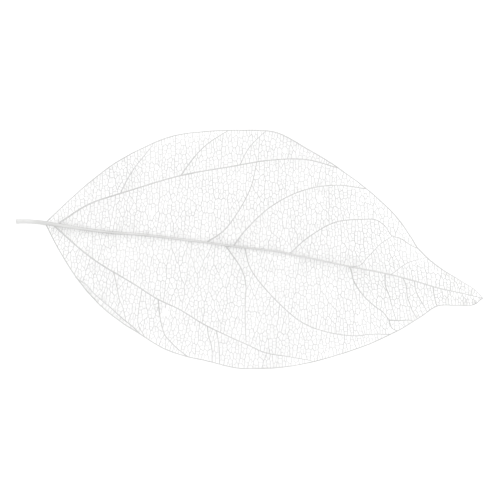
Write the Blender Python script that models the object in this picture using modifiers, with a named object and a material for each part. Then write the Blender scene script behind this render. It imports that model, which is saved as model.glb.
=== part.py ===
"""A bleached skeleton leaf: the vein network of one leaf, left when its flesh is gone.

The leaf is one grown piece. Its blade is an open net of veins, drawn flat, divided
into cells, given a bar of real thickness along every vein, and arched. A tapered rib
runs through it and ends in a short cut stalk. Sizes are in millimetres along the
leaf: x runs from the blade's base to its tip, y to its left side, z up.
"""
import math
import random

import bmesh
import bpy
import numpy as np
from mathutils import Matrix, Vector
from mathutils.geometry import interpolate_bezier

MM = 0.001

# The blade's outline, base to tip
LEFT_MARGIN = (
    (0, 0), (6, 8), (12.5, 15), (22, 21.6), (28.5, 23.8), (36, 25.4), (43, 26.2), (49.6, 24.1),
    (57, 21.1), (64.3, 17.3), (70.3, 13.2), (73.8, 9.7), (75.5, 7.8), (80, 4.9), (85, 2.8),
    (88.4, 1.3), (90, 0),
)
RIGHT_MARGIN = (
    (0, 0), (3.4, -4.6), (8.3, -10.1), (13.5, -14.4), (18, -17), (22.5, -18.9), (28, -21.1),
    (32, -21.8), (37, -22.1), (43.5, -22.5), (49.6, -21.5), (55, -20), (60, -17.9), (65, -15.4),
    (70, -12.5), (74.5, -9.3), (78.4, -5.9), (81.4, -3.1), (85, -2.4), (88.6, -1.6), (90, 0),
)
MIDRIB = (
    (0, 0), (12, 0.3), (19.7, 1), (31, 1.6), (40, 1.9), (46, 2.3), (54, 2.1), (62, 1.8),
    (70, 1.6), (76, 1.1), (81, 0.5), (85.5, 0.3), (90, 0),
)

# The larger side veins: width, then the places each passes on its way out
SIDE_VEINS = (
    (0.9, ((2, 0), (10.5, -5.5), (20, -9.3), (30, -12.6), (42.8, -16.8), (50, -18.4), (57, -19.2))),
    (0.9, ((2, 0), (8, 5.2), (15, 9), (25.6, 14.2), (34.7, 17.5), (42.8, 20.3), (48, 21.9), (53.5, 22.8))),
    (0.8, ((41, 1.9), (44.2, -3.9), (50, -8.3), (56, -11.4), (62.7, -12.3), (70, -12.4))),
    (0.8, ((38.5, 1.8), (40.2, 5.2), (44.8, 11.2), (50.7, 15.5), (57, 17.6), (62.8, 18))),
    (0.7, ((62.6, 1.8), (65.6, -3), (70, -6.2), (75.5, -8.4))),
    (0.7, ((50, 2.2), (53, 6), (58, 9.9), (63.2, 11.5), (66.2, 11.7), (69.6, 9.7), (72, 9.2), (74.2, 9.2))),
    (0.7, ((36.5, 1.8), (39.7, -1.4), (42.4, -6.6), (43.2, -11.7), (43.6, -17))),
    (0.7, ((33, 1.7), (36, 4.6), (38.5, 9.5), (40, 14.5), (40.3, 19.5))),
    (0.7, ((25.1, -11), (26.3, -15), (29, -19.1), (31.8, -21.8))),
    (0.7, ((25.6, 14.2), (27.5, 18), (30.5, 21.8), (33.5, 25))),
    (0.65, ((38.1, -15.3), (38.9, -18.5), (40.2, -22.5))),
    (0.65, ((37, 18.3), (38.2, 22), (40.5, 26))),
    (0.65, ((13.8, -7), (15, -11), (19, -17))),
    (0.65, ((14, 8.5), (15.5, 13), (19, 19.6))),
    (0.65, ((71, 1.5), (73.8, 4.4), (77.5, 6.3))),
    (0.65, ((70.5, 1.5), (73, -3.5), (77, -7.2))),
)

# Widths of the bars. The one along the middle is hidden in the rib
NET_BAR = 0.6
MARGIN_BAR = 0.7
WIDEST_BAR = 0.9
HIDDEN_BAR = 0.5
POINT_SPACING = 1.7
NODE_REACH = 0.5

# The lines along the leaf, when only a place on them is looked up
LOOKUP_SPACING = 1.0
CURVE_STEPS = 16

# How finely the blade is divided, in stages that each end with a relaxing: area and bar width
STAGES = ((60.0, 0.7), (22.0, 0.65), (7.4, NET_BAR))
OVERSHOOT = 1.4
AREA_SPREAD = 0.2
OUTLINE_STEP = 0.4
JUNCTION_GAP = 1.3
GAP_WORTH = 2.2
CUT_TRIES = 24
CUT_TURN = 0.25
CUT_SHIFT = 0.12
RELAX_ROUNDS = 4
RELAX_STEP = 0.45
STIFFNESS_POWER = 9
SHORTEST_BAR = 0.95
STRAIGHT_ENOUGH = 0.08
LONGEST_BAR = 4.0
FEWEST_SIDES = 4
CORNER_MARGIN = 1.2
SHARPEST_CORNER = 0.05
TINY = 1e-6
SEED = 11

# How the blade is arched, seen from its sides
BLADE_LENGTH = 90.0
NARROWEST_HALF = 0.5
SPINE_HEIGHT = 0.45
TIP_RISE = 5.5
TIP_RISE_FROM = 45.0
BASE_RISE = 1.0
BASE_RISE_UP_TO = 15.0
ARCH = 0.083
EDGE_DROP = 0.2
EDGE_WAVE = 0.03
EDGE_LOW_AT = 49.0
LEFT_WAVELENGTH = 44.0
RIGHT_WAVELENGTH = 38.0
TIP_TWIST = 0.9
TIP_TWIST_FROM = 60.0

# The rib and its stalk: place along the leaf and radius
STALK_END = (-6.0, -0.7)
STALK_BEND = (-3.0, -0.25)
STALK_HEIGHT = 1.7
STALK_BEND_RISE = 0.05
RIB_RADII = ((-6, 0.72), (-1, 0.66), (15, 0.58), (30, 0.54), (50, 0.48), (70, 0.43), (86, 0.38))
RIB_FROM, RIB_END_AT = 1.0, 86.0
RIB_POINT_SPACING = 3.2
RIB_BELOW_NET = 0.04
WELD_DISTANCE = 0.01

# The box that cuts the leaf off at the table
TABLE_LENGTH = 140.0
TABLE_WIDTH = 90.0
TABLE_DEPTH = 10.0

# The part's origin, below the middle of its box
ORIGIN = (42.19, 1.85)

BLEACHED_COLOUR = (0.74, 0.74, 0.72, 1.0)
ROUGHNESS = 0.85


def clear_scene():
    """Remove every object, so that the script starts from nothing."""
    for thing in list(bpy.data.objects):
        bpy.data.objects.remove(thing, do_unlink=True)


def smooth_line(points, spacing):
    """Points about a spacing apart on a smooth curve through the given points."""
    places = np.array(points, float)
    chords = np.linalg.norm(np.diff(places, axis=0), axis=1)
    knots = np.concatenate(([0.0], np.cumsum(np.sqrt(chords))))
    slopes = np.gradient(places, knots, axis=0)
    dense = []
    for i, span in enumerate(np.diff(knots)):
        start, end = Vector(places[i]), Vector(places[i + 1])
        leave = start + Vector(slopes[i]) * span / 3
        arrive = end - Vector(slopes[i + 1]) * span / 3
        dense += [tuple(p) for p in interpolate_bezier(start, leave, arrive, end, CURVE_STEPS)][:-1]
    dense.append(tuple(places[-1]))
    dense = np.array(dense)[:, :2]
    travel = np.concatenate(([0.0], np.cumsum(np.linalg.norm(np.diff(dense, axis=0), axis=1))))
    count = max(2, round(travel[-1] / spacing) + 1)
    stops = np.linspace(0, travel[-1], count)
    return [(np.interp(s, travel, dense[:, 0]), np.interp(s, travel, dense[:, 1])) for s in stops]


LEFT_EDGE = smooth_line(LEFT_MARGIN, LOOKUP_SPACING)
RIGHT_EDGE = smooth_line(RIGHT_MARGIN, LOOKUP_SPACING)
SPINE = smooth_line(MIDRIB, LOOKUP_SPACING)


def side_at(line, x):
    """How far to the left or right a line along the leaf lies at a place along it."""
    return float(np.interp(x, [p[0] for p in line], [p[1] for p in line]))


def height(x, y):
    """Height of the blade's middle surface over the table."""
    middle = side_at(SPINE, x)
    left = y > middle
    edge = side_at(LEFT_EDGE if left else RIGHT_EDGE, x)
    half_width = max(abs(edge - middle), NARROWEST_HALF)
    across = min(abs(y - middle) / half_width, 1.0)
    to_tip = max(0.0, (x - TIP_RISE_FROM) / (BLADE_LENGTH - TIP_RISE_FROM))
    to_base = max(0.0, (BASE_RISE_UP_TO - x) / BASE_RISE_UP_TO)
    spine = SPINE_HEIGHT + TIP_RISE * to_tip ** 2 + BASE_RISE * to_base ** 2
    arch = ARCH * half_width * math.sin(math.pi * across)
    wavelength = LEFT_WAVELENGTH if left else RIGHT_WAVELENGTH
    wave = EDGE_WAVE * half_width * (1 - math.cos(2 * math.pi * (x - EDGE_LOW_AT) / wavelength))
    twist = TIP_TWIST * max(0.0, (x - TIP_TWIST_FROM) / (BLADE_LENGTH - TIP_TWIST_FROM))
    if not left:
        twist = -twist
    return spine + arch + (wave - EDGE_DROP) * across ** 2 + twist * across


def flat(vertex):
    """A vertex's place in the plane of the leaf."""
    return vertex.co.xy


def junction(vertex):
    """Whether veins branch at a vertex."""
    return len(vertex.link_edges) > 2


def side_direction(loop):
    """The direction that a cell's side runs in."""
    return (flat(loop.link_loop_next.vert) - flat(loop.vert)).normalized()


def inside(cell, place):
    """Whether a place is inside a cell, by counting the sides that a ray crosses."""
    hits = 0
    for loop in cell.loops:
        a, b = flat(loop.vert), flat(loop.link_loop_next.vert)
        if (a.y > place.y) != (b.y > place.y):
            hits += place.x < a.x + (place.y - a.y) * (b.x - a.x) / (b.y - a.y)
    return hits % 2 == 1


def crossings(cell, place, direction):
    """Where a line through a place crosses a cell's sides: (how far, side, how far along it)."""
    found = []
    for loop in cell.loops:
        a, b = flat(loop.vert), flat(loop.link_loop_next.vert)
        run = b - a
        slope = direction.x * run.y - direction.y * run.x
        if abs(slope) < TINY:
            continue
        gap = a - place
        along = (gap.x * direction.y - gap.y * direction.x) / slope
        if 0 <= along < 1:
            found.append(((gap.x * run.y - gap.y * run.x) / slope, loop, along))
    return sorted(found, key=lambda hit: hit[0])


def long_axis(cell):
    """A cell's middle, the direction that it is longest in, and how much longer it is than wide."""
    places = []
    for loop in cell.loops:
        a, b = flat(loop.vert), flat(loop.link_loop_next.vert)
        steps = max(1, round((b - a).length / OUTLINE_STEP))
        places += [a.lerp(b, i / steps) for i in range(steps)]
    cloud = np.array([tuple(p) for p in places])
    middle = cloud.mean(axis=0)
    spreads, axes = np.linalg.eigh(np.cov((cloud - middle).T))
    return Vector(middle), Vector(axes[:, 1]), math.sqrt(spreads[1] / max(spreads[0], TINY))


def best_cut(cell, rng):
    """Where to lay a new vein across a cell: short, even, and clear of its junctions."""
    middle, axis, longness = long_axis(cell)
    size = math.sqrt(cell.calc_area())
    junctions = [flat(v) for v in cell.verts if junction(v)]
    best = None
    for _ in range(CUT_TRIES):
        shift = rng.gauss(0, CUT_SHIFT) * size * longness
        turn = rng.gauss(0, CUT_TURN)
        direction = Matrix.Rotation(math.pi / 2 + turn, 2) @ axis
        hits = crossings(cell, middle + axis * shift, direction)
        if len(hits) < 2:
            continue
        near, far = min(zip(hits[::2], hits[1::2]), key=lambda pair: abs(pair[0][0] + pair[1][0]))
        ends = [flat(h[1].vert).lerp(flat(h[1].link_loop_next.vert), h[2]) for h in (near, far)]
        clear = min([(end - j).length for end in ends for j in junctions] + [size])
        length = (ends[0] - ends[1]).length
        slant = sum(abs(direction.dot(side_direction(h[1]))) for h in (near, far))
        score = GAP_WORTH * min(clear / JUNCTION_GAP, 1) - (length + abs(shift)) / size - slant
        if best is None or score > best[0]:
            best = (score, near, far, length)
    return best


class VeinNet:
    """A flat net of veins in millimetres, with a cell for every opening between them.

    Each edge has the width of its vein. A main edge is part of the margin or of a drawn
    vein, and its ends stay where they are.
    """

    def __init__(self):
        self.mesh = bmesh.new()
        self.width = self.mesh.edges.layers.float.new("width")
        self.main = self.mesh.edges.layers.int.new("main")

    def on_main_vein(self, vertex):
        return any(edge[self.main] for edge in vertex.link_edges)

    def draw_margin(self):
        """Lay the outline, as one big cell."""
        right = smooth_line(RIGHT_MARGIN, POINT_SPACING)
        left = smooth_line(LEFT_MARGIN, POINT_SPACING)
        self.mesh.faces.new([self.mesh.verts.new((x, y, 0)) for x, y in right + left[-2:0:-1]])
        for edge in self.mesh.edges:
            edge[self.width] = MARGIN_BAR
            edge[self.main] = 1

    def node_at(self, place):
        """The vertex at a place: one within reach, or a new one on the nearest vein."""
        place = Vector(place)
        for vertex in self.mesh.verts:
            if (flat(vertex) - place).length < NODE_REACH and not junction(vertex):
                return vertex
        best = None
        for edge in self.mesh.edges:
            a, b = (flat(v) for v in edge.verts)
            along = min(max((place - a).dot(b - a) / (b - a).length_squared, 0.0), 1.0)
            gap = (a.lerp(b, along) - place).length
            if best is None or gap < best[0]:
                best = (gap, edge, along)
        return bmesh.utils.edge_split(best[1], best[1].verts[0], best[2])[1]

    def divide(self, cell, start, end, between, width, main):
        """Lay a vein across a cell from one of its vertices to another."""
        points = [Vector((x, y, 0)) for x, y in between]
        made, _ = bmesh.utils.face_split(cell, start, end, coords=points)
        for edge in made.edges:
            if cell in edge.link_faces and edge[self.width] == 0:
                edge[self.width] = width
                edge[self.main] = main
        return made

    def draw_vein(self, points, width):
        """Lay a main vein across the cell that holds its middle."""
        line = smooth_line(points, POINT_SPACING)
        start, end = self.node_at(line[0]), self.node_at(line[-1])
        middle = Vector(line[len(line) // 2])
        shared = set(start.link_faces) & set(end.link_faces)
        cell = next(face for face in shared if inside(face, middle))
        self.divide(cell, start, end, line[1:-1], width, 1)

    def vertex_on(self, hit):
        """A vertex at a crossing, made by splitting the side unless one is close by."""
        _, loop, along = hit
        edge, start, end = loop.edge, loop.vert, loop.link_loop_next.vert
        length = edge.calc_length()
        for vertex, share in ((start, along), (end, 1 - along)):
            if share * length < NODE_REACH and not junction(vertex):
                return vertex
        return bmesh.utils.edge_split(edge, start, along)[1]

    def divide_cells(self, rng, area, width):
        """Divide every cell by new veins until it is small enough."""
        queue = list(self.mesh.faces)
        while queue:
            cell = queue.pop()
            if cell.calc_area() < OVERSHOOT * area * (1 + rng.uniform(-AREA_SPREAD, AREA_SPREAD)):
                continue
            cut = best_cut(cell, rng)
            if cut is None:
                continue
            start, end = self.vertex_on(cut[1]), self.vertex_on(cut[2])
            if start == end or self.mesh.edges.get((start, end)):
                continue
            steps = round(cut[3] / POINT_SPACING)
            between = [tuple(flat(start).lerp(flat(end), i / steps)) for i in range(1, steps)]
            queue += [cell, self.divide(cell, start, end, between, width, 0)]

    def relax(self):
        """Even out the fine junctions: each goes towards its neighbours, the wider veins' first."""
        for _ in range(RELAX_ROUNDS):
            moved = []
            for vertex in self.mesh.verts:
                if self.on_main_vein(vertex):
                    continue
                place = flat(vertex)
                ways = [flat(edge.other_vert(vertex)) - place for edge in vertex.link_edges]
                pulls = [(edge[self.width] / NET_BAR) ** STIFFNESS_POWER for edge in vertex.link_edges]
                shortest = min(way.length for way in ways)
                steps = [pull * (way + shortest * way.normalized()) / 2 for pull, way in zip(pulls, ways)]
                step = sum(steps, Vector((0, 0))) / sum(pulls)
                moved.append((vertex, place + RELAX_STEP * step))
            for vertex, place in moved:
                vertex.co.xy = place

    def merge_short(self):
        """Run junctions that are too close to each other into one."""
        while True:
            targets = {}
            taken = set()
            for edge in sorted(self.mesh.edges, key=lambda e: e.calc_length()):
                if edge.calc_length() > SHORTEST_BAR:
                    break
                stays, goes = edge.verts
                both_main = self.on_main_vein(goes) and self.on_main_vein(stays)
                if taken & {stays, goes} or (both_main and not edge[self.main]):
                    continue
                if self.on_main_vein(goes):
                    stays, goes = goes, stays
                if both_main or not self.on_main_vein(stays):
                    stays.co = (stays.co + goes.co) / 2
                targets[goes] = stays
                for vertex in (stays, goes):
                    taken |= {v for e in vertex.link_edges for v in e.verts}
            if not targets:
                return
            bmesh.ops.weld_verts(self.mesh, targetmap=targets)

    def drop_straight(self):
        """Remove vertices where a vein only runs on, and stays in place without them."""
        changed = True
        while changed:
            changed = False
            for vertex in list(self.mesh.verts):
                if junction(vertex):
                    continue
                if any(len(cell.verts) <= FEWEST_SIDES for cell in vertex.link_faces):
                    continue
                a, b = (flat(edge.other_vert(vertex)) for edge in vertex.link_edges)
                chord = b - a
                if chord.length > LONGEST_BAR:
                    continue
                offset = abs(chord.cross(flat(vertex) - a)) / max(chord.length, TINY)
                if offset < STRAIGHT_ENOUGH:
                    bmesh.utils.vert_collapse_edge(vertex, vertex.link_edges[0])
                    changed = True

    def tight_side(self, cell):
        """The side of a cell that the bars round it leave no room for, if there is one."""
        inner = []
        for loop in cell.loops:
            here = flat(loop.vert)
            back, ahead = side_direction(loop.link_loop_prev), side_direction(loop)
            half = max(edge[self.width] for edge in loop.vert.link_edges) / 2 * CORNER_MARGIN
            normal = Vector((-back.y - ahead.y, back.x + ahead.x))
            inner.append(here + normal * half / max(1 + back.dot(ahead), SHARPEST_CORNER))
        for i, loop in enumerate(cell.loops):
            if (inner[(i + 1) % len(inner)] - inner[i]).dot(side_direction(loop)) <= 0:
                return loop
        return None

    def make_room(self, loop):
        """Straighten or take out a vein at a tight side of a cell, where that can be done."""
        cell = loop.face
        loose = [v for v in loop.edge.verts if not junction(v)]
        near = [e for v in loop.edge.verts for e in v.link_edges] + list(cell.edges)
        fine = [e for e in near if not e[self.main]]
        if loose and len(cell.verts) > FEWEST_SIDES:
            bmesh.utils.vert_collapse_edge(loose[0], loop.edge)
        elif fine:
            bmesh.ops.dissolve_edges(self.mesh, edges=fine[:1], use_verts=False)
        else:
            return False
        return True

    def open_tight_cells(self):
        """Make room in the cells that are too tight for their bars."""
        changed = True
        while changed:
            changed = False
            for cell in list(self.mesh.faces):
                loop = self.tight_side(cell) if cell.is_valid else None
                if loop and self.make_room(loop):
                    changed = True

    def give_weights(self):
        """Store each vertex's share of the widest bar, from the widest vein that it is on."""
        deform = self.mesh.verts.layers.deform.verify()
        for vertex in self.mesh.verts:
            widest = max(edge[self.width] for edge in vertex.link_edges)
            vertex[deform][0] = widest / WIDEST_BAR


def draw_net():
    """The leaf's whole vein net, from the margin down to the finest veins."""
    net = VeinNet()
    net.draw_margin()
    net.draw_vein(MIDRIB, HIDDEN_BAR)
    for width, points in SIDE_VEINS:
        net.draw_vein(points, width)
    rng = random.Random(SEED)
    for area, width in STAGES:
        net.divide_cells(rng, area, width)
        net.relax()
    net.merge_short()
    net.drop_straight()
    net.open_tight_cells()
    net.give_weights()
    return net


def to_part(x, y, z):
    """A place on the leaf, in metres from the part's origin."""
    return ((x - ORIGIN[0]) * MM, (y - ORIGIN[1]) * MM, z * MM)


def make_material():
    """Bleached vein: dull off-white, all through."""
    material = bpy.data.materials.new("bleached_veins")
    material.use_nodes = True
    shader = material.node_tree.nodes["Principled BSDF"]
    shader.inputs["Base Color"].default_value = BLEACHED_COLOUR
    shader.inputs["Roughness"].default_value = ROUGHNESS
    shader.inputs["Metallic"].default_value = 0.0
    return material


def applied_mesh(thing):
    """A mesh of an object as its modifiers or its bevel leave it. The object is removed."""
    bpy.context.view_layer.update()
    evaluated = thing.evaluated_get(bpy.context.evaluated_depsgraph_get())
    mesh = bpy.data.meshes.new_from_object(evaluated)
    bpy.data.objects.remove(thing, do_unlink=True)
    return mesh


def make_net_object(collection):
    """The net with a bar along each vein, barred while it is flat and then arched."""
    net = draw_net()
    flat_mesh = bpy.data.meshes.new("flat_net")
    net.mesh.to_mesh(flat_mesh)
    net.mesh.free()
    flat_net = bpy.data.objects.new("flat_net", flat_mesh)
    collection.objects.link(flat_net)
    flat_net.vertex_groups.new(name="bar_width")
    bars = flat_net.modifiers.new("Bars", "WIREFRAME")
    bars.thickness = WIDEST_BAR
    bars.vertex_group = "bar_width"
    bars.use_even_offset = True
    bars.use_boundary = True
    bars.use_replace = True
    mesh = applied_mesh(flat_net)
    for vertex in mesh.vertices:
        x, y, z = vertex.co
        vertex.co = to_part(x, y, z + height(x, y))
    leaf = bpy.data.objects.new("leaf", mesh)
    collection.objects.link(leaf)
    return leaf


def make_rib(collection):
    """The tapered rib with its stalk, as a helper that is joined to the net."""
    base = height(0, 0) - RIB_BELOW_NET
    bend_height = (STALK_HEIGHT + base) / 2 + STALK_BEND_RISE
    stalk = [(*STALK_END, STALK_HEIGHT), (*STALK_BEND, bend_height), (0.0, 0.0, base)]
    stops = [p for p in smooth_line(MIDRIB, RIB_POINT_SPACING) if RIB_FROM < p[0] < RIB_END_AT]
    route = stalk + [(x, y, height(x, y) - RIB_BELOW_NET) for x, y in stops]
    curve = bpy.data.curves.new("rib_path", "CURVE")
    curve.dimensions = "3D"
    curve.bevel_depth = MM
    curve.bevel_resolution = 2
    curve.use_fill_caps = True
    spline = curve.splines.new("POLY")
    spline.points.add(len(route) - 1)
    places, radii = zip(*RIB_RADII)
    for point, (x, y, z) in zip(spline.points, route):
        point.co = (*to_part(x, y, z), 1.0)
        point.radius = float(np.interp(x, places, radii))
    path = bpy.data.objects.new("rib_path", curve)
    collection.objects.link(path)
    mesh = applied_mesh(path)
    weld = bmesh.new()
    weld.from_mesh(mesh)
    bmesh.ops.remove_doubles(weld, verts=weld.verts, dist=WELD_DISTANCE * MM)
    weld.to_mesh(mesh)
    weld.free()
    rib = bpy.data.objects.new("rib_helper", mesh)
    collection.objects.link(rib)
    return rib


def make_table_cutter(collection):
    """A box whose top is the table, for the flats that the leaf rests on."""
    cutter_mesh = bpy.data.meshes.new("table_cutter")
    box = bmesh.new()
    bmesh.ops.create_cube(box, size=MM)
    box.transform(Matrix.Diagonal((TABLE_LENGTH, TABLE_WIDTH, TABLE_DEPTH, 1.0)))
    box.transform(Matrix.Translation((0, 0, -TABLE_DEPTH / 2 * MM)))
    box.to_mesh(cutter_mesh)
    box.free()
    cutter = bpy.data.objects.new("table_cutter", cutter_mesh)
    collection.objects.link(cutter)
    return cutter


def combine(leaf, other, operation):
    """Join a helper to the leaf, or cut it away."""
    modifier = leaf.modifiers.new(operation.title(), "BOOLEAN")
    modifier.operation = operation
    modifier.solver = "EXACT"
    modifier.object = other
    other.hide_render = True
    other.display_type = "WIRE"


def main():
    clear_scene()
    parts = bpy.data.collections.new("skeleton_leaf")
    helpers = bpy.data.collections.new("helpers")
    for collection in (parts, helpers):
        bpy.context.scene.collection.children.link(collection)
    leaf = make_net_object(parts)
    combine(leaf, make_rib(helpers), "UNION")
    combine(leaf, make_table_cutter(helpers), "DIFFERENCE")
    leaf.data.materials.append(make_material())


main()
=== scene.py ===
"""The looks of the skeleton leaf: its real net of veins, far finer than the solid's.

The net is drawn flat, in millimetres along the leaf: x runs from the blade's base to its
tip, y to its left side. Its veins are listed one by one down to the side veins' branches
and from there laid by a rule that divides each opening again and again. Every vein then gets
a bar of its own width, the larger ones a round fibrous cord too, and all of it is arched as
the solid is.
"""
import math
import random
from collections import namedtuple

import bmesh
import bpy
import numpy as np
from mathutils import Matrix, Vector, noise
from mathutils.geometry import interpolate_bezier


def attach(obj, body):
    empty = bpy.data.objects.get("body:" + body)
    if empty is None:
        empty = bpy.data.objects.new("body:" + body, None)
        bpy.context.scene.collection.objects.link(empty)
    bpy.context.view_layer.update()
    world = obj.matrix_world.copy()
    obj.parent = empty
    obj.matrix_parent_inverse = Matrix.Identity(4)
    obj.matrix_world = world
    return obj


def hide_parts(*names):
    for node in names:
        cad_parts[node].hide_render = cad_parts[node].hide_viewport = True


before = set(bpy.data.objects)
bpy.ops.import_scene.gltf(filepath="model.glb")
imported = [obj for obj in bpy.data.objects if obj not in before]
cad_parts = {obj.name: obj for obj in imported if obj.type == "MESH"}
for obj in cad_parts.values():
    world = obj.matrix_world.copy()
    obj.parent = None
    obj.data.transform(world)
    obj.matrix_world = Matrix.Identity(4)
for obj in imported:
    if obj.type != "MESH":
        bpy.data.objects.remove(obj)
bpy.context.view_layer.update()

MM = 0.001

# The blade's outline, base to tip, as the solid has it
LEFT_MARGIN = (
    (0, 0), (6, 8), (12.5, 15), (22, 21.6), (28.5, 23.8), (36, 25.4), (43, 26.2), (49.6, 24.1),
    (57, 21.1), (64.3, 17.3), (70.3, 13.2), (73.8, 9.7), (75.5, 7.8), (80, 4.9), (85, 2.8),
    (88.4, 1.3), (90, 0),
)
RIGHT_MARGIN = (
    (0, 0), (3.4, -4.6), (8.3, -10.1), (13.5, -14.4), (18, -17), (22.5, -18.9), (28, -21.1),
    (32, -21.8), (37, -22.1), (43.5, -22.5), (49.6, -21.5), (55, -20), (60, -17.9), (65, -15.4),
    (70, -12.5), (74.5, -9.3), (78.4, -5.9), (81.4, -3.1), (85, -2.4), (88.6, -1.6), (90, 0),
)
MIDRIB = (
    (0, 0), (12, 0.3), (19.7, 1), (31, 1.6), (40, 1.9), (46, 2.3), (54, 2.1), (62, 1.8),
    (70, 1.6), (76, 1.1), (81, 0.5), (85.5, 0.3), (90, 0),
)

# The veins given one by one: the cord's radius at the root and at the end, then the places passed.
# Each starts and ends on an earlier one, on the margin or on the midrib
SIDE_VEINS = (
    (0.155, 0.055, (
        (1.5, 0), (10.5, -5.4), (20, -9.2), (25, -11.3), (30, -12.7), (35, -14.7), (40, -16.2),
        (45, -17.5), (48.5, -18.4), (53, -18.4), (58.4, -18.4),
    )),
    (0.155, 0.075, (
        (2.6, 0.3), (8, 5.2), (15, 9), (25.6, 14.2), (34.7, 17.5), (42.8, 20.3), (50, 21.7),
        (57, 21.1),
    )),
    (0.105, 0.075, (
        (40.9, 1.9), (41.6, 0), (42.6, -1.9), (44.4, -3.9), (50, -8.3), (55, -11.1), (60, -12.1),
        (66, -11.9), (68.5, -11.2), (73.2, -10.3),
    )),
    (0.12, 0.075, ((38.5, 1.8), (40.2, 5.2), (44.8, 11.2), (50.7, 15.5), (57, 17.6), (63.2, 17.9))),
    (0.13, 0.08, (
        (62.6, 1.8), (63.2, 0.3), (63.8, -1), (66, -3.4), (69, -5.4), (70.5, -6.1), (72.2, -7.7),
        (72.9, -9), (74.2, -9.5),
    )),
    (0.11, 0.07, ((72.1, -7.6), (74, -7.4), (76.2, -6.9), (77.2, -7))),
    (0.1, 0.075, (
        (50, 2.2), (53, 6), (58, 10.1), (63.2, 11.6), (66.1, 12), (68.2, 11), (69.8, 9.4), (71.7, 9.1),
        (74, 8.1), (75.6, 7.7),
    )),
    (0.07, 0.06, (
        (62.6, 1.8), (64.4, 2.3), (65.75, 4.25), (66.75, 5.75), (67.75, 7.25), (68.9, 8.4),
        (69.9, 9.3),
    )),
    (0.12, 0.07, (
        (36.8, 1.8), (38.6, 0), (40.3, -1.7), (41.6, -3.6), (42.4, -5.8), (42.8, -9), (43.4, -12.5),
        (44.4, -17.3),
    )),
    (0.12, 0.07, ((33, 1.7), (36, 4.6), (38.5, 9.5), (40, 14.5), (40.3, 19.5))),
    (0.12, 0.08, (
        (25.3, -11.4), (25.7, -13), (26.4, -15.3), (27.2, -17.2), (27.8, -18.3), (29, -19.3),
        (30.5, -20.4), (33.2, -21.9),
    )),
    (0.12, 0.07, ((25.6, 14.2), (27.2, 17.6), (29.6, 21.2), (33.5, 24.9))),
    (0.08, 0.09, ((36, -15), (36.6, -17), (37.4, -18.5), (37.9, -20.2), (38.2, -22.3))),
    (0.09, 0.07, ((38, -15.7), (39, -18.5), (39.8, -22.3))),
    (0.09, 0.06, ((37, 18.3), (38.2, 22), (41, 26.1))),
    (0.08, 0.1, (
        (8.4, -10.2), (10.25, -10.9), (11.75, -12.1), (13.5, -13.3), (16, -14.7), (18, -16),
        (19.5, -16.9), (21, -17.7), (23, -19.1),
    )),
    (0.08, 0.055, ((15.4, -7.4), (16.7, -10.6), (17.5, -12.8), (18.2, -13.8), (19.6, -16.9))),
    (0.1, 0.06, ((14, 8.5), (15.5, 13), (19, 19.6))),
    (0.075, 0.055, ((21.7, -9.9), (21.7, -13.5), (22.1, -17), (24, -19.6))),
    (0.1, 0.06, ((69.8, 1.5), (70.3, -0.9), (71.3, -2.6), (72.2, -4.6), (73.6, -7.4))),
    (0.1, 0.09, ((73.5, 1.3), (74.4, -0.1), (75.1, -2.5), (75.7, -3.5), (76.4, -4.8), (77.8, -6.4))),
    (0.09, 0.08, ((75.9, 1.1), (76.5, -0.8), (77.5, -2.2), (79.6, -4.7))),
    (0.1, 0.09, ((79.8, 0.6), (80.2, -0.8), (81.2, -3.2))),
    (0.06, 0.045, ((71, 1.5), (73.8, 4.4), (77.5, 6.3))),
)

# The net also has a bar inside the cord of each of these veins and of the margin. In a vein
# its width is this many times the cord's radius at the end
HIDDEN_SHARE = 1.4
MARGIN_BAR = 0.11

# The lines along the leaf: how finely they are curved, the spacing of their points, and how
# near a line's end has to be to a vertex to start from it
CURVE_STEPS = 16
LOOKUP_SPACING = 1.0
POINT_SPACING = 0.6
NODE_REACH = 0.2

# The rest of the net, laid by rule in stages: the area that a cell is divided down to, the
# width of the bars, and how much longer than wide the cells are the way the cross veins run
STAGES = (
    (42.0, 0.14, 3.2), (16.0, 0.13, 3.0), (6.0, 0.118, 2.6), (1.9, 0.104, 2.4), (0.72, 0.073, 1.6),
)
OVERSHOOT = 1.4
AREA_SPREAD = 0.25

# Where the cells get finer, and how far the cross veins lean at places along the leaf
FINER_AT_TIP = 0.5
FINER_FROM = 79.0
LEANS = ((45, 0.14), (62, 0.22), (68, 0.42), (80, 0.36))

# How a new vein is chosen from several tries: their spread, what being clear of the cell's
# junctions is worth, and how near a vertex has to be, for the cell's size, to be its end
CUT_TRIES = 24
CUT_TURN = 0.16
CUT_SHIFT = 0.13
CLEAR_SHARE = 0.48
CLEAR_MOST = 1.1
CLEAR_WORTH = 2.2
REACH_SHARE = 0.2

# The seed of every random draw
SEED = 7

# How the net is evened out and cleared of what is too short, too straight or too tight
RELAX_ROUNDS = 2
RELAX_STEP = 0.45
STIFFNESS_POWER = 4
SHORTEST_BAR = 0.18
STRAIGHT_ENOUGH = 0.025
LONGEST_BAR = 1.4
FEWEST_SIDES = 4
CORNER_MARGIN = 1.1
SHARPEST_CORNER = 0.05
TINY = 1e-9

# How much the bars differ in width, and how much wider they are at places towards the tip
UNEVENNESS = 0.22
WIDER = ((74, 1.0), (80, 1.15), (86, 1.5), (90, 1.1))

# The veinlets that end freely in a cell: the share of cells that have one, the room that it
# needs on a side, where on the side it starts, and its length as a share of the way inward
FREE_VEINLETS = 0.25
FREE_ROOM = 3 * SHORTEST_BAR
FREE_ROOT = (0.35, 0.65)
FREE_LENGTH = 0.75
FREE_LENGTH_SPREAD = (0.6, 1.3)
FREE_BEND = 0.08
FREE_WIDTH = 0.05

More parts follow.
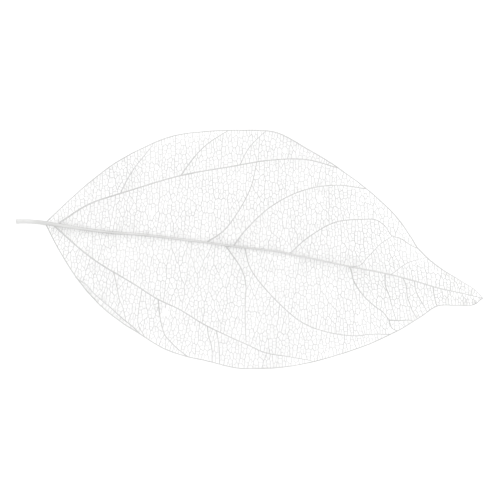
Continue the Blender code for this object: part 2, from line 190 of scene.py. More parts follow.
# The small tears, and where some of the leaf's tissue is left between the veins: places and
# radii. A torn vein leaves a stump, a share of its bar
TEARS = (
    (27.2, -13.6, 0.6), (33.4, -16.0, 0.65), (54.3, 14.2, 0.5), (21.0, 5.6, 0.5), (66.2, -8.1, 0.55),
)
STUMP = 0.4
TISSUE = (
    (88.5, -0.9, 0.6), (86.3, -1.3, 0.7), (83.4, -1.4, 0.5), (87.4, 0.9, 0.5), (86.2, 1.5, 0.6),
    (85.0, 2.4, 0.5), (83.6, 3.1, 0.5), (82.2, 3.6, 0.6), (77.3, -6.4, 1.2), (14.0, -13.8, 0.5),
)

# Small waves of the margin and of the net between the veins, each from its own layer of the noise
WAVE_DEPTH = 0.12
WAVE_LENGTH = 2.6
WAVE_LAYER = 7.3
WAVE_FADE = 0.3
PUCKER = 0.09
PUCKER_LENGTH = 4.5
PUCKER_LAYER = 0.5

# How the sides of bars meet at a junction, and how a bar that ends freely tapers
STRAIGHT_ON = -0.96
CORNER_REACH = 0.45
END_TAPER = 0.6

# How the blade is arched, as the solid is
SPINE_HEIGHT = 0.45
BLADE_LENGTH = 90.0
NARROWEST_HALF = 0.5
TIP_RISE = 5.5
TIP_RISE_FROM = 45.0
BASE_RISE = 1.0
BASE_RISE_UP_TO = 15.0
ARCH = 0.083
EDGE_DROP = 0.2
EDGE_WAVE = 0.03
EDGE_LOW_AT = 49.0
LEFT_WAVELENGTH = 44.0
RIGHT_WAVELENGTH = 38.0
TIP_TWIST = 0.9
TIP_TWIST_FROM = 60.0

# The stalk that the midrib starts with
STALK_END = (-5.85, -0.68)
STALK_HEIGHT = 1.7
STALK_BEND = 3.0
STALK_STEPS = 12

# The cords of the midrib and the margin: places along the leaf and radii
RIB_RADII = (
    (-6, 0.52), (-1, 0.42), (6, 0.32), (15, 0.25), (30, 0.2), (45, 0.168), (60, 0.162),
    (75, 0.145), (86, 0.11), (90, 0.075),
)
LEFT_MARGIN_RADII = (
    (0, 0.1), (60, 0.1), (73, 0.11), (75.5, 0.125), (80, 0.12), (81.5, 0.085), (88, 0.065),
)
RIGHT_MARGIN_RADII = (
    (0, 0.1), (8, 0.115), (20, 0.1), (35, 0.1), (45, 0.085), (55, 0.085), (62, 0.1), (72, 0.105),
    (81, 0.09), (86, 0.05), (89, 0.07),
)

# How a side vein's cord thins out, and how much thicker and deeper it is where it starts
CORD_SPACING = 0.35
VEIN_TAPER = 0.8
ROOT_LENGTH = 0.8
ROOT_SWELL = 0.2
CORD_DEPTH = 0.3
ROOT_DEPTH = 0.45

# The round of the cords: their sides, the ridges along them, and their rounded ends
RIB_SIDES, RIB_RIDGES = 16, 2.2
VEIN_SIDES, VEIN_RIDGES = 10, 1.6
RIDGE_LENGTH = 3.5
RIDGE_DEPTH = 0.16
END_SWELL = 0.15

# The materials: the darkest and the lightest tone of each, and the noise that gives them
NET_TONES = ((0.49, 0.49, 0.49), (0.61, 0.61, 0.605))
VEIN_TONES = ((0.43, 0.43, 0.425), (0.55, 0.55, 0.545))
RIB_TONES = ((0.52, 0.52, 0.515), (0.64, 0.64, 0.635))
TISSUE_TONES = ((0.75, 0.75, 0.745), (0.81, 0.81, 0.805))
TONE_RANGE = (0.35, 0.65)
ROUGHNESS = 0.78
SPECULAR = 0.3

# Their patches and their grain, which on the cords is drawn out into fibres
PATCHES = {"Scale": 190.0, "Detail": 3.0, "Roughness": 0.6}
GRAIN = {"Scale": 5200.0, "Detail": 3.0, "Roughness": 0.7}
FIBRES = {"Scale": 1.6, "Detail": 3.0, "Roughness": 0.7}
FIBRE_STRETCH = (0.35, 9.0, 1.0)
PATCH_SHARE = 0.5
BUMP_STRENGTH = 0.5
BUMP_DEPTH = 0.03

# The studio, in metres and watts
WORLD_STRENGTH = 1.2
KEY_PLACE = (-0.3, 0.4, 0.8)
KEY_SIZE = 1.4
KEY_WATTS = 3.0
TABLE_SIZE = 3.0
TABLE_DROP = 0.00002
TABLE_COLOUR = (0.95, 0.95, 0.95, 1.0)
TABLE_ROUGHNESS = 0.9

# The part's origin, below the middle of its box
ORIGIN = (42.19, 1.85)

# The picture: its middle and its width at the leaf's level, how far the leaf is turned in it,
# in degrees, as it lies in the photograph, and the camera's lens
VIEW_CENTRE = (41.95, 1.65)
VIEW_WIDTH = 101.6
LEAF_LEVEL = 1.5
LEAF_TURN = 9.75
LENS = 400.0
SENSOR = 36.0

# One of the veins that meet at a vertex: the way that it leaves it, half its width, its length
Spoke = namedtuple("Spoke", ("angle", "edge", "way", "half", "length"))


def smooth_line(points, spacing):
    """Points about a spacing apart on a smooth curve through the given points."""
    places = np.array(points, float)
    chords = np.linalg.norm(np.diff(places, axis=0), axis=1)
    knots = np.concatenate(([0.0], np.cumsum(np.sqrt(chords))))
    slopes = np.gradient(places, knots, axis=0)
    dense = []
    for i, span in enumerate(np.diff(knots)):
        start, end = Vector(places[i]), Vector(places[i + 1])
        leave = start + Vector(slopes[i]) * span / 3
        arrive = end - Vector(slopes[i + 1]) * span / 3
        dense += [tuple(p) for p in interpolate_bezier(start, leave, arrive, end, CURVE_STEPS)][:-1]
    dense.append(tuple(places[-1]))
    dense = np.array(dense)[:, :2]
    travel = np.concatenate(([0.0], np.cumsum(np.linalg.norm(np.diff(dense, axis=0), axis=1))))
    count = max(2, round(travel[-1] / spacing) + 1)
    stops = np.linspace(0, travel[-1], count)
    return np.column_stack([np.interp(stops, travel, dense[:, axis]) for axis in (0, 1)])


LEFT_EDGE = smooth_line(LEFT_MARGIN, LOOKUP_SPACING)
RIGHT_EDGE = smooth_line(RIGHT_MARGIN, LOOKUP_SPACING)
SPINE = smooth_line(MIDRIB, LOOKUP_SPACING)


def side_at(line, x):
    """How far to the left or right a line along the leaf lies at places along it."""
    return np.interp(x, line[:, 0], line[:, 1])


def heights(places):
    """Heights of the blade's middle surface over the table, at places in its plane."""
    x, y = np.asarray(places, float).T
    middle = side_at(SPINE, x)
    left = y > middle
    edge = np.where(left, side_at(LEFT_EDGE, x), side_at(RIGHT_EDGE, x))
    half_width = np.maximum(np.abs(edge - middle), NARROWEST_HALF)
    across = np.minimum(np.abs(y - middle) / half_width, 1.0)
    to_tip = np.maximum(0.0, (x - TIP_RISE_FROM) / (BLADE_LENGTH - TIP_RISE_FROM))
    to_base = np.maximum(0.0, (BASE_RISE_UP_TO - x) / BASE_RISE_UP_TO)
    spine = SPINE_HEIGHT + TIP_RISE * to_tip ** 2 + BASE_RISE * to_base ** 2
    arch = ARCH * half_width * np.sin(math.pi * across)
    wavelength = np.where(left, LEFT_WAVELENGTH, RIGHT_WAVELENGTH)
    wave = EDGE_WAVE * half_width * (1 - np.cos(2 * math.pi * (x - EDGE_LOW_AT) / wavelength))
    twist = np.maximum(0.0, (x - TIP_TWIST_FROM) / (BLADE_LENGTH - TIP_TWIST_FROM))
    twist = TIP_TWIST * twist * np.where(left, 1, -1)
    return spine + arch + (wave - EDGE_DROP) * across ** 2 + twist * across


def noise_at(places, length, layer):
    """Smooth noise at flat places, from -1 to 1, whose waves are about a length long."""
    return np.array([noise.noise((x / length, y / length, layer)) for x, y in places])


def puckers(places):
    """The small unevenness of the net between the veins."""
    return PUCKER * noise_at(places, PUCKER_LENGTH, PUCKER_LAYER)


def to_part(places, levels):
    """Places on the leaf, in metres from the part's origin."""
    flat_places = (np.asarray(places, float) - ORIGIN) * MM
    return np.column_stack([flat_places, np.asarray(levels, float) * MM])


def wavy(line, inward):
    """A margin line with small irregular bays, none of them outside the smooth one."""
    ahead = np.gradient(line, axis=0)
    ahead /= np.linalg.norm(ahead, axis=1)[:, None]
    normals = np.column_stack([-ahead[:, 1], ahead[:, 0]]) * inward
    fade = np.sin(math.pi * np.linspace(0, 1, len(line))) ** WAVE_FADE
    depths = (1 + noise_at(line, WAVE_LENGTH, WAVE_LAYER)) / 2
    return line + normals * (WAVE_DEPTH * fade * depths)[:, None]


def flat(vertex):
    """A vertex's place in the plane of the leaf."""
    return vertex.co.xy


def junction(vertex):
    """Whether veins branch at a vertex."""
    return len(vertex.link_edges) > 2


def side_direction(loop):
    """The direction that a cell's side runs in."""
    return (flat(loop.link_loop_next.vert) - flat(loop.vert)).normalized()


def inside(cell, place):
    """Whether a place is inside a cell, by counting the sides that a ray crosses."""
    hits = 0
    for loop in cell.loops:
        a, b = flat(loop.vert), flat(loop.link_loop_next.vert)
        if (a.y > place.y) != (b.y > place.y):
            hits += place.x < a.x + (place.y - a.y) * (b.x - a.x) / (b.y - a.y)
    return hits % 2 == 1


def stretch_at(place, ladder):
    """The local stretch that makes cells longest the way the small cross veins run."""
    lean = np.interp(place[0], *zip(*LEANS))
    turn = np.array(Matrix.Rotation(lean, 2))
    return turn @ np.diag([ladder, 1.0]) @ turn.T


def long_axis(starts, ends):
    """An outline's middle, the direction that it is longest in, and how much longer it is."""
    lengths = np.linalg.norm(ends - starts, axis=1)
    middle = lengths @ (starts + ends) / (2 * lengths.sum())
    a, b = starts - middle, ends - middle
    both = a + b
    moment = (a.T * lengths) @ a + (b.T * lengths) @ b + (both.T * lengths) @ both
    spreads, axes = np.linalg.eigh(moment)
    return middle, axes[:, 1], math.sqrt(spreads[1] / max(spreads[0], TINY))


def trial_lines(rng, starts, ends, stretch, size):
    """Lines across an outline near its middle, about square to the way it is longest in.

    The outline's length is judged in a stretched plane. Returns the lines' places and
    directions, and how far each is shifted from the middle.
    """
    unstretch = np.linalg.inv(stretch)
    middle, axis, longness = long_axis(starts @ stretch, ends @ stretch)
    shifts = np.array([rng.gauss(0, CUT_SHIFT) for _ in range(CUT_TRIES)]) * size * longness
    turns = math.pi / 2 + np.array([rng.gauss(0, CUT_TURN) for _ in range(CUT_TRIES)])
    cos, sin = np.cos(turns)[:, None], np.sin(turns)[:, None]
    directions = (axis * cos + np.array([-axis[1], axis[0]]) * sin) @ unstretch
    directions /= np.linalg.norm(directions, axis=1)[:, None]
    places = (middle + shifts[:, None] * axis) @ unstretch
    return places, directions, shifts


def crossings(starts, runs, places, directions):
    """Where lines cross the lines of an outline's sides.

    Returns how far along each side, as a share of it, and how far from the line's place.
    """
    slope = directions[:, :1] * runs[:, 1] - directions[:, 1:] * runs[:, 0]
    slope = np.where(np.abs(slope) < TINY, TINY, slope)
    gap_x = starts[:, 0] - places[:, :1]
    gap_y = starts[:, 1] - places[:, 1:]
    along = (gap_x * directions[:, 1:] - gap_y * directions[:, :1]) / slope
    reach = (gap_x * runs[:, 1] - gap_y * runs[:, 0]) / slope
    return along, reach


def best_cut(cell, rng, clear_of, ladder):
    """Where to lay a new vein across a cell: short, even, and clear of its junctions."""
    starts = np.array([tuple(flat(loop.vert)) for loop in cell.loops])
    ends = np.roll(starts, -1, axis=0)
    runs = ends - starts
    size = math.sqrt(cell.calc_area())
    stretch = stretch_at(starts.mean(axis=0), ladder)
    places, directions, shifts = trial_lines(rng, starts, ends, stretch, size)
    along, reach = crossings(starts, runs, places, directions)
    hit = (along >= 0) & (along < 1)
    ahead = np.where(hit & (reach > 0), reach, np.inf)
    behind = np.where(hit & (reach <= 0), reach, -np.inf)
    usable = ((ahead < np.inf).sum(axis=1) % 2 == 1) & ((behind > -np.inf).sum(axis=1) % 2 == 1)
    if not usable.any():
        return None
    tries = np.arange(CUT_TRIES)
    sides = np.stack([behind.argmax(axis=1), ahead.argmin(axis=1)])
    shares = along[tries, sides]
    tips = starts[sides] + runs[sides] * shares[..., None]
    length = np.linalg.norm(tips[1] - tips[0], axis=1)
    junctions = np.array([tuple(flat(v)) for v in cell.verts if junction(v)]).reshape(-1, 2)
    clear = np.full(CUT_TRIES, size)
    if len(junctions):
        clear = np.linalg.norm(tips[:, :, None] - junctions, axis=3).min(axis=(0, 2))
    unit_runs = runs / np.linalg.norm(runs, axis=1)[:, None]
    slant = np.abs((unit_runs[sides] * directions).sum(axis=2)).sum(axis=0)
    score = CLEAR_WORTH * np.minimum(clear, clear_of) / clear_of - length / size
    score = np.where(usable, score - np.abs(shifts) / size - slant, -np.inf)
    best = int(score.argmax())
    loops = list(cell.loops)
    near, far = ((loops[sides[i, best]], float(shares[i, best])) for i in (0, 1))
    return near, far, float(length[best])


class VeinNet:
    """A flat net of veins in millimetres, with a cell for every opening between them.

    Each edge has the width of its vein. A main edge is part of the margin or of a listed
    vein, and its ends stay where they are.
    """

    def __init__(self):
        self.mesh = bmesh.new()
        self.width = self.mesh.edges.layers.float.new("width")
        self.main = self.mesh.edges.layers.int.new("main")

    def on_main_vein(self, vertex):
        """Whether a vertex is on the margin or on a listed vein."""
        return any(edge[self.main] for edge in vertex.link_edges)

    def draw_margin(self, right, left):
        """Lay the outline, as one big cell."""
        outline = [tuple(p) for p in right] + [tuple(p) for p in left[-2:0:-1]]
        self.mesh.faces.new([self.mesh.verts.new((x, y, 0)) for x, y in outline])
        for edge in self.mesh.edges:
            edge[self.width] = MARGIN_BAR
            edge[self.main] = 1

    def node_at(self, place):
        """The vertex at a place: one within reach, or a new one on the nearest vein."""
        place = Vector(place)
        for vertex in self.mesh.verts:
            if (flat(vertex) - place).length < NODE_REACH and not junction(vertex):
                return vertex
        best = None
        for edge in self.mesh.edges:
            a, b = (flat(v) for v in edge.verts)
            along = min(max((place - a).dot(b - a) / (b - a).length_squared, 0.0), 1.0)
            gap = (a.lerp(b, along) - place).length
            if best is None or gap < best[0]:
                best = (gap, edge, along)
        return bmesh.utils.edge_split(best[1], best[1].verts[0], best[2])[1]

    def divide(self, cell, start, end, between, width, main):
        """Lay a vein across a cell from one of its vertices to another."""
        points = [Vector((x, y, 0)) for x, y in between]
        made, _ = bmesh.utils.face_split(cell, start, end, coords=points)
        for edge in made.edges:
            if cell in edge.link_faces and edge[self.width] == 0:
                edge[self.width] = width
                edge[self.main] = main
        return made

    def draw_vein(self, points, width):
        """Lay a listed vein across the cell that holds its middle. Returns its line."""
        line = smooth_line(points, POINT_SPACING)
        start, end = self.node_at(line[0]), self.node_at(line[-1])
        middle = Vector(line[len(line) // 2])
        shared = set(start.link_faces) & set(end.link_faces)
        cells = [face for face in shared if inside(face, middle)]
        if not cells:
            raise ValueError(f"the vein from {points[0]} to {points[-1]} crosses another")
        self.divide(cells[0], start, end, line[1:-1], width, 1)
        return np.vstack([flat(start), line[1:-1], flat(end)])

    def vertex_on(self, hit, reach):
        """A vertex at a crossing, made by splitting the side unless one is close by."""
        loop, along = hit
        edge, start, end = loop.edge, loop.vert, loop.link_loop_next.vert
        length = edge.calc_length()
        for vertex, share in ((start, along), (end, 1 - along)):
            if share * length < reach and not junction(vertex):
                return vertex
        return bmesh.utils.edge_split(edge, start, along)[1]

    def divide_cells(self, rng, area, width, ladder):
        """Divide every cell by new veins until it is small enough."""
        clear_of = min(CLEAR_SHARE * math.sqrt(area), CLEAR_MOST)
        reach = REACH_SHARE * math.sqrt(area)
        spacing = 2 * POINT_SPACING
        queue = list(self.mesh.faces)
        while queue:
            cell = queue.pop()
            to_tip = max(0.0, cell.calc_center_median().x - FINER_FROM) / (BLADE_LENGTH - FINER_FROM)
            wanted = area * (1 - FINER_AT_TIP * to_tip)
            if cell.calc_area() < OVERSHOOT * wanted * (1 + rng.uniform(-AREA_SPREAD, AREA_SPREAD)):
                continue
            cut = best_cut(cell, rng, clear_of, ladder)
            if cut is None:
                continue
            near, far, length = cut
            start, end = self.vertex_on(near, reach), self.vertex_on(far, reach)
            if start == end or self.mesh.edges.get((start, end)):
                continue
            steps = round(length / spacing)
            between = [tuple(flat(start).lerp(flat(end), i / steps)) for i in range(1, steps)]
            queue += [cell, self.divide(cell, start, end, between, width, 0)]

    def relax(self, thinnest):
        """Even out the free junctions: each goes towards its neighbours, the wider veins' first."""
        for _ in range(RELAX_ROUNDS):
            moved = []
            for vertex in self.mesh.verts:
                if self.on_main_vein(vertex):
                    continue
                place = flat(vertex)
                ways = [flat(edge.other_vert(vertex)) - place for edge in vertex.link_edges]
                pulls = [(edge[self.width] / thinnest) ** STIFFNESS_POWER for edge in vertex.link_edges]
                shortest = min(way.length for way in ways)
                steps = [pull * (way + shortest * way.normalized()) / 2 for pull, way in zip(pulls, ways)]
                step = sum(steps, Vector((0, 0))) / sum(pulls)
                moved.append((vertex, place + RELAX_STEP * step))
            for vertex, place in moved:
                vertex.co.xy = place

    def merge_short(self):
        """Run junctions that are too close to each other into one."""
        while True:
            targets = {}
            taken = set()
            for edge in sorted(self.mesh.edges, key=lambda e: e.calc_length()):
                if edge.calc_length() > SHORTEST_BAR:
                    break
                stays, goes = edge.verts
                both_main = self.on_main_vein(goes) and self.on_main_vein(stays)
                if taken & {stays, goes} or (both_main and not edge[self.main]):
                    continue
                if self.on_main_vein(goes):
                    stays, goes = goes, stays
                if both_main or not self.on_main_vein(stays):
                    stays.co = (stays.co + goes.co) / 2
                targets[goes] = stays
                for vertex in (stays, goes):
                    taken |= {v for e in vertex.link_edges for v in e.verts}
            if not targets:
                return
            bmesh.ops.weld_verts(self.mesh, targetmap=targets)

    def drop_straight(self):
        """Remove vertices where a vein only runs on, and stays in place without them."""
        changed = True
        while changed:
            changed = False
            for vertex in list(self.mesh.verts):
                if junction(vertex):
                    continue
                if any(len(cell.verts) <= FEWEST_SIDES for cell in vertex.link_faces):
                    continue
                a, b = (flat(edge.other_vert(vertex)) for edge in vertex.link_edges)
                chord = b - a
                if chord.length > LONGEST_BAR:
                    continue
                offset = abs(chord.cross(flat(vertex) - a)) / max(chord.length, TINY)
                if offset < STRAIGHT_ENOUGH:
                    bmesh.utils.vert_collapse_edge(vertex, vertex.link_edges[0])
                    changed = True

    def tight_side(self, cell):
        """The side of a cell that the bars round it leave no room for, if there is one."""
        inner = []
        for loop in cell.loops:
            here = flat(loop.vert)
            back, ahead = side_direction(loop.link_loop_prev), side_direction(loop)
            half = max(edge[self.width] for edge in loop.vert.link_edges) / 2 * CORNER_MARGIN
            normal = Vector((-back.y - ahead.y, back.x + ahead.x))
            inner.append(here + normal * half / max(1 + back.dot(ahead), SHARPEST_CORNER))
        for i, loop in enumerate(cell.loops):
            if (inner[(i + 1) % len(inner)] - inner[i]).dot(side_direction(loop)) <= 0:
                return loop
        return None

    def make_room(self, loop):
        """Straighten or take out a vein at a tight side of a cell, where that can be done."""
        cell = loop.face
        loose = [v for v in loop.edge.verts if not junction(v)]
        near = [e for v in loop.edge.verts for e in v.link_edges] + list(cell.edges)
        fine = [e for e in near if not e[self.main]]
        if loose and len(cell.verts) > FEWEST_SIDES:
            bmesh.utils.vert_collapse_edge(loose[0], loop.edge)
        elif fine:
            bmesh.ops.dissolve_edges(self.mesh, edges=fine[:1], use_verts=False)
        else:
            return False
        return True

    def open_tight_cells(self):
        """Make room in the cells that are too tight for their bars."""
        changed = True
        while changed:
            changed = False
            for cell in list(self.mesh.faces):
                loop = self.tight_side(cell) if cell.is_valid else None
                if loop and self.make_room(loop):
                    changed = True

    def tear(self):
        """Open the small tears. Veins that led into one end as stumps."""
        for x, y, radius in TEARS:
            place = Vector((x, y))
            near = [v for v in self.mesh.verts if (flat(v) - place).length < radius]
            torn = [v for v in near if not self.on_main_vein(v)]
            led_in = [(e, v) for v in torn for e in v.link_edges if e.other_vert(v) not in torn]
            for edge, vertex in led_in:
                kept = edge.other_vert(vertex)
                end = self.mesh.verts.new(kept.co.lerp(vertex.co, STUMP))
                self.mesh.edges.new((kept, end))[self.width] = edge[self.width]
            bmesh.ops.delete(self.mesh, geom=torn, context="VERTS")

    def vary_widths(self, rng):
        """Make the bars a little uneven, each by itself, and wider towards the tip."""
        for edge in self.mesh.edges:
            wider = np.interp(flat(edge.verts[0]).x, *zip(*WIDER))
            edge[self.width] *= wider * (1 + rng.uniform(-UNEVENNESS, UNEVENNESS))

    def tissue_cells(self):
        """The outlines of the cells that still have some tissue in them."""
        found = []
        for cell in self.mesh.faces:
            middle = cell.calc_center_median()
            if any(math.hypot(middle.x - x, middle.y - y) < radius for x, y, radius in TISSUE):
                found.append([tuple(flat(v)) for v in cell.verts])
        return found

    def add_free_veinlets(self, rng):
        """Give some of the cells a short veinlet that ends in their middle."""
        for cell in list(self.mesh.faces):
            sides = [e for e in cell.edges if not e[self.main] and e.calc_length() > FREE_ROOM]
            if not sides or rng.random() > FREE_VEINLETS:
                continue
            side = rng.choice(sides)
            middle = cell.calc_center_median()
            root = bmesh.utils.edge_split(side, side.verts[0], rng.uniform(*FREE_ROOT))[1]
            bend = Vector((rng.gauss(0, FREE_BEND), rng.gauss(0, FREE_BEND), 0))
            length = FREE_LENGTH * rng.uniform(*FREE_LENGTH_SPREAD)
            end = self.mesh.verts.new(root.co.lerp(middle, length) + bend)
            self.mesh.edges.new((root, end))[self.width] = FREE_WIDTH


def draw_net():
    """The leaf's whole net, and the lines of the veins that get a cord of their own."""
    net = VeinNet()
    right = wavy(smooth_line(RIGHT_MARGIN, POINT_SPACING), 1)
    left = wavy(smooth_line(LEFT_MARGIN, POINT_SPACING), -1)
    net.draw_margin(right, left)
    net.draw_vein(MIDRIB, RIB_RADII[-1][1] * HIDDEN_SHARE)
    margins = [(right, RIGHT_MARGIN_RADII), (left, LEFT_MARGIN_RADII)]
    veins = []
    for root_radius, end_radius, points in SIDE_VEINS:
        line = net.draw_vein(points, end_radius * HIDDEN_SHARE)
        veins.append((line, root_radius, end_radius))
    rng = random.Random(SEED)
    stages = STAGES
    thinnest = stages[-1][1]
    for area, width, ladder in stages:
        net.divide_cells(rng, area, width, ladder)
        net.relax(thinnest)
    net.merge_short()
    net.drop_straight()
    net.open_tight_cells()
    net.tear()
    net.vary_widths(rng)
    net.add_free_veinlets(rng)
    return net, margins, veins


def spokes_at(vertex, width):
    """The veins that meet at a vertex, in their order round it."""
    found = []
    for edge in vertex.link_edges:
        run = flat(edge.other_vert(vertex)) - flat(vertex)
        angle = math.atan2(run.y, run.x)
        found.append(Spoke(angle, edge, run.normalized(), edge[width] / 2, run.length))
    return sorted(found, key=lambda spoke: spoke.angle)


def corner_between(first, second):
    """Where the sides of two neighbouring bars meet, as an offset from their vertex."""
    a, b = first.way, second.way
    sine, cosine = a.cross(b), a.dot(b)
    if cosine < STRAIGHT_ON:
        return Vector((-a.y + b.y, a.x - b.x)).normalized() * (first.half + second.half) / 2
    offset = (second.half * a + first.half * b) / sine
    limit = CORNER_REACH * min(first.length, second.length)
    if sine > 0 and offset.length > limit:
        offset *= limit / offset.length
    return offset


class BarMesh:
    """Six-sided bars along every vein of a net, joined at its junctions.

    The points come in pairs, one above the net's plane and one below it. Each vertex has a
    pair at its place, and a pair on either side of each of its veins.
    """

    def __init__(self, net):
        self.places, self.lifts, self.faces = [], [], []
        self.crest, self.corner = {}, {}
        net.mesh.verts.index_update()
        net.mesh.edges.index_update()
        for vertex in net.mesh.verts:
            spokes = spokes_at(vertex, net.width)
            self.crest[vertex.index] = self.add_pair(flat(vertex), max(spoke.half for spoke in spokes))
            if len(spokes) == 1:
                self.close_end(vertex, spokes[0])
            else:
                self.lay_corners(vertex, spokes)
        for edge in net.mesh.edges:
            self.lay_bar(edge)

    def add_pair(self, place, half):
        """Two points at a place, half a thickness above and below. Returns the upper one."""
        self.places.extend([tuple(place)] * 2)
        self.lifts.extend([half, -half])
        return len(self.places) - 2

    def close_end(self, vertex, spoke):
        """Close the bar of a vein that ends freely at a vertex."""
        normal = Vector((-spoke.way.y, spoke.way.x)) * spoke.half * END_TAPER
        left = self.add_pair(flat(vertex) + normal, spoke.half / 2)
        right = self.add_pair(flat(vertex) - normal, spoke.half / 2)
        top = self.crest[vertex.index]
        self.corner[vertex.index, spoke.edge.index] = (left, right)
        self.faces += [
            (top, left, right),
            (left, left + 1, right + 1, right),
            (left + 1, top + 1, right + 1),
        ]

    def lay_corners(self, vertex, spokes):
        """The corners between the bars round a vertex."""
        pairs = []
        for first, second in zip(spokes, spokes[1:] + spokes[:1]):
            half = (first.half + second.half) / 4
            pairs.append(self.add_pair(flat(vertex) + corner_between(first, second), half))
        for i, spoke in enumerate(spokes):
            self.corner[vertex.index, spoke.edge.index] = (pairs[i], pairs[i - 1])

    def lay_bar(self, edge):
        """The six sides of one vein's bar."""
        v, w = edge.verts
        top_v, top_w = self.crest[v.index], self.crest[w.index]
        left_v, right_v = self.corner[v.index, edge.index]
        right_w, left_w = self.corner[w.index, edge.index]
        self.faces += [
            (top_v, top_w, left_w, left_v),
            (left_v, left_w, left_w + 1, left_v + 1),
            (left_v + 1, left_w + 1, top_w + 1, top_v + 1),
            (top_w, top_v, right_v, right_w),
            (right_w, right_v, right_v + 1, right_w + 1),
            (right_w + 1, right_v + 1, top_v + 1, top_w + 1),
        ]


def add_piece(name, points, faces, material, uvs=None):
    """Add a smooth mesh of the leaf, riding on its body."""
    mesh = bpy.data.meshes.new(name)
    mesh.from_pydata([tuple(p) for p in points], [], faces)
    mesh.shade_smooth()
    mesh.materials.append(material)
    if uvs is not None:
        layer = mesh.uv_layers.new(name="fibres")
        index = np.zeros(len(mesh.loops), int)
        mesh.loops.foreach_get("vertex_index", index)
        layer.data.foreach_set("uv", np.asarray(uvs, float)[index].ravel())
    piece = bpy.data.objects.new(name, mesh)
    bpy.context.scene.collection.objects.link(piece)
    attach(piece, "root")
    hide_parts("leaf")


def cord_frame(route):
    """The directions ahead, aside and upward along a route, and the way travelled."""
    ahead = np.gradient(route, axis=0)
    ahead /= np.linalg.norm(ahead, axis=1)[:, None]
    aside = np.cross((0, 0, 1), ahead)
    aside /= np.linalg.norm(aside, axis=1)[:, None]
    travel = np.concatenate(([0.0], np.cumsum(np.linalg.norm(np.diff(route, axis=0), axis=1))))
    return ahead, aside, np.cross(ahead, aside), travel


def cord_shape(route, radii, sides, ridges):
    """A round, slightly fluted cord along a route in millimetres: points, faces and fibre map."""
    route = np.asarray(route, float)
    ahead, aside, upward, travel = cord_frame(route)
    points, uvs, faces = [], [], []
    for i, (centre, radius) in enumerate(zip(route, radii)):
        for k in range(sides):
            angle = 2 * math.pi * k / sides
            across, up = math.cos(angle), math.sin(angle)
            ridge = noise.noise((travel[i] / RIDGE_LENGTH, across * ridges, up * ridges))
            reach = radius * (1 + RIDGE_DEPTH * ridge)
            points.append(centre + reach * (across * aside[i] + up * upward[i]))
            uvs.append((travel[i], k / sides))
    for i in range(len(route) - 1):
        for k in range(sides):
            a, b = i * sides + k, i * sides + (k + 1) % sides
            faces.append((a, b, b + sides, a + sides))
    for row, step in ((0, -1), (len(route) - 1, 1)):
        points.append(route[row] + ahead[row] * step * radii[row] * END_SWELL)
        uvs.append((travel[row], 0.5))
        for k in range(sides):
            a, b = row * sides + k, row * sides + (k + 1) % sides
            faces.append((a, b, len(points) - 1) if step > 0 else (b, a, len(points) - 1))
    return points, faces, uvs


def add_cords(name, shapes, material):
    """Add one piece from several cords, given in millimetres along the leaf."""
    points, faces, uvs = [], [], []
    for cord_points, cord_faces, cord_uvs in shapes:
        first = len(points)
        points += cord_points
        faces += [tuple(i + first for i in face) for face in cord_faces]
        uvs += cord_uvs
    points = np.array(points)
    add_piece(name, to_part(points[:, :2], points[:, 2]), faces, material, uvs)


def midrib_shape():
    """The midrib with its cut stalk. Its underside lies on the table where it is lowest."""
    line = smooth_line(MIDRIB, POINT_SPACING)
    xs, radii = zip(*RIB_RADII)
    thickness = np.interp(line[:, 0], xs, radii)
    below = np.minimum(SPINE_HEIGHT - thickness, thickness / 2)
    route = np.column_stack([line, heights(line) - below])
    start = np.array((*STALK_END, STALK_HEIGHT))
    steps = np.linspace(0, 1, STALK_STEPS)[:-1, None]
    slope = route[1] - route[0]
    slope *= STALK_BEND / np.linalg.norm(slope)
    bend = route[0] - slope
    stalk = (1 - steps) ** 2 * start + 2 * steps * (1 - steps) * bend + steps ** 2 * route[0]
    route = np.vstack([stalk, route])
    return cord_shape(route, np.interp(route[:, 0], xs, radii), RIB_SIDES, RIB_RIDGES)


def margin_shape(line, radii_along):
    """The cord along one side of the margin."""
    line = smooth_line(line, CORD_SPACING)
    radii = np.interp(line[:, 0], *zip(*radii_along))
    route = np.column_stack([line, heights(line)])
    return cord_shape(route, radii, VEIN_SIDES, VEIN_RIDGES)


def side_vein_shape(line, root_radius, end_radius):
    """A side vein's cord, from inside the vein that it leaves to where it fades."""
    line = smooth_line(line, CORD_SPACING)
    share = np.linspace(0, 1, len(line))
    at_root = np.exp(-share * len(line) * CORD_SPACING / ROOT_LENGTH)
    radii = end_radius + (root_radius - end_radius) * (1 - share) ** VEIN_TAPER
    radii = radii * (1 + ROOT_SWELL * at_root)
    depth = radii * (CORD_DEPTH + ROOT_DEPTH * at_root)
    route = np.column_stack([line, heights(line) - depth])
    return cord_shape(route, radii, VEIN_SIDES, VEIN_RIDGES)


def add_noise(tree, place, settings):
    """A noise texture read at a place, with the given settings."""
    texture = tree.nodes.new("ShaderNodeTexNoise")
    for name, value in settings.items():
        texture.inputs[name].default_value = value
    tree.links.new(place, texture.inputs["Vector"])
    return texture.outputs["Fac"]


def add_grain(tree, place, fibres):
    """The grain: even on the net, and drawn out into fibres along the cords."""
    if not fibres:
        return add_noise(tree, place.outputs["Object"], GRAIN)
    stretch = tree.nodes.new("ShaderNodeMapping")
    stretch.inputs["Scale"].default_value = FIBRE_STRETCH
    tree.links.new(place.outputs["UV"], stretch.inputs["Vector"])
    return add_noise(tree, stretch.outputs["Vector"], FIBRES)


def add_tones(tree, factor, dark, light):
    """The colours from the darkest to the lightest, chosen by a factor."""
    tones = tree.nodes.new("ShaderNodeValToRGB")
    for element, position, colour in zip(tones.color_ramp.elements, TONE_RANGE, (dark, light)):
        element.position = position
        element.color = (*colour, 1.0)
    tree.links.new(factor, tones.inputs["Fac"])
    return tones.outputs["Color"]


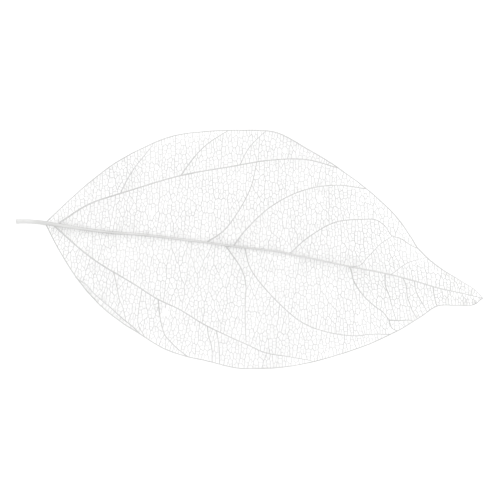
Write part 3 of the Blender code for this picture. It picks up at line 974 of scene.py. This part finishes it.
def make_material(name, dark, light, fibres=False):
    """Bleached vein: dull, uneven off-white, with long fibres on the cords."""
    material = bpy.data.materials.new(name)
    material.use_nodes = True
    tree = material.node_tree
    shader = tree.nodes["Principled BSDF"]
    shader.inputs["Roughness"].default_value = ROUGHNESS
    shader.inputs["Specular IOR Level"].default_value = SPECULAR
    place = tree.nodes.new("ShaderNodeTexCoord")
    grain = add_grain(tree, place, fibres)
    mixed = tree.nodes.new("ShaderNodeMix")
    mixed.inputs["Factor"].default_value = PATCH_SHARE
    tree.links.new(add_noise(tree, place.outputs["Object"], PATCHES), mixed.inputs["A"])
    tree.links.new(grain, mixed.inputs["B"])
    tree.links.new(add_tones(tree, mixed.outputs["Result"], dark, light), shader.inputs["Base Color"])
    bump = tree.nodes.new("ShaderNodeBump")
    bump.inputs["Strength"].default_value = BUMP_STRENGTH
    bump.inputs["Distance"].default_value = BUMP_DEPTH * MM
    tree.links.new(grain, bump.inputs["Height"])
    tree.links.new(bump.outputs["Normal"], shader.inputs["Normal"])
    return material


def add_tissue(cells, material):
    """Add the thin film that is left in some cells."""
    places, faces = [], []
    for outline in cells:
        faces.append(tuple(range(len(places), len(places) + len(outline))))
        places += outline
    add_piece("tissue", to_part(places, heights(places) + puckers(places)), faces, material)


def add_leaf():
    """Add every visible piece of the leaf."""
    net_material = make_material("bleached_net", *NET_TONES)
    cord_material = make_material("bleached_fibres", *VEIN_TONES, fibres=True)
    rib_material = make_material("bleached_midrib", *RIB_TONES, fibres=True)
    tissue_material = make_material("bleached_tissue", *TISSUE_TONES)
    net, margins, veins = draw_net()
    bars = BarMesh(net)
    add_tissue(net.tissue_cells(), tissue_material)
    net.mesh.free()
    levels = heights(bars.places) + puckers(bars.places) + bars.lifts
    add_piece("vein_net", to_part(bars.places, levels), bars.faces, net_material)
    add_cords("margin", [margin_shape(*margin) for margin in margins], cord_material)
    add_cords("side_veins", [side_vein_shape(*vein) for vein in veins], cord_material)
    add_cords("midrib", [midrib_shape()], rib_material)


def add_camera():
    """Add a camera straight above the leaf, far enough off to see it almost without perspective."""
    lens = bpy.data.cameras.new("camera")
    lens.lens = LENS
    lens.sensor_width = SENSOR
    camera = bpy.data.objects.new("camera", lens)
    away = VIEW_WIDTH * LENS / SENSOR + LEAF_LEVEL
    camera.location = to_part([VIEW_CENTRE], [away])[0]
    camera.rotation_euler = (0, 0, math.radians(LEAF_TURN))
    bpy.context.scene.collection.objects.link(camera)
    bpy.context.scene.camera = camera


def add_lights():
    """Add white light from all round, and a soft square light aimed at the leaf from one side."""
    world = bpy.data.worlds.new("studio")
    world.use_nodes = True
    world.node_tree.nodes["Background"].inputs["Color"].default_value = (1, 1, 1, 1)
    world.node_tree.nodes["Background"].inputs["Strength"].default_value = WORLD_STRENGTH
    bpy.context.scene.world = world
    light = bpy.data.lights.new("key_light", "AREA")
    light.size = KEY_SIZE
    light.energy = KEY_WATTS
    lamp = bpy.data.objects.new("key_light", light)
    lamp.location = KEY_PLACE
    lamp.rotation_euler = (-Vector(KEY_PLACE)).to_track_quat("-Z", "Y").to_euler()
    bpy.context.scene.collection.objects.link(lamp)


def add_table():
    """Add the white table that the leaf lies on."""
    bpy.ops.mesh.primitive_plane_add(size=TABLE_SIZE, location=(0, 0, -TABLE_DROP))
    floor = bpy.context.object
    floor.name = "floor"
    paper = bpy.data.materials.new("white_table")
    paper.use_nodes = True
    shader = paper.node_tree.nodes["Principled BSDF"]
    shader.inputs["Base Color"].default_value = TABLE_COLOUR
    shader.inputs["Roughness"].default_value = TABLE_ROUGHNESS
    shader.inputs["Specular IOR Level"].default_value = 0.0
    floor.data.materials.append(paper)


bpy.context.scene.view_settings.view_transform = "Standard"
add_leaf()
add_camera()
add_lights()
add_table()
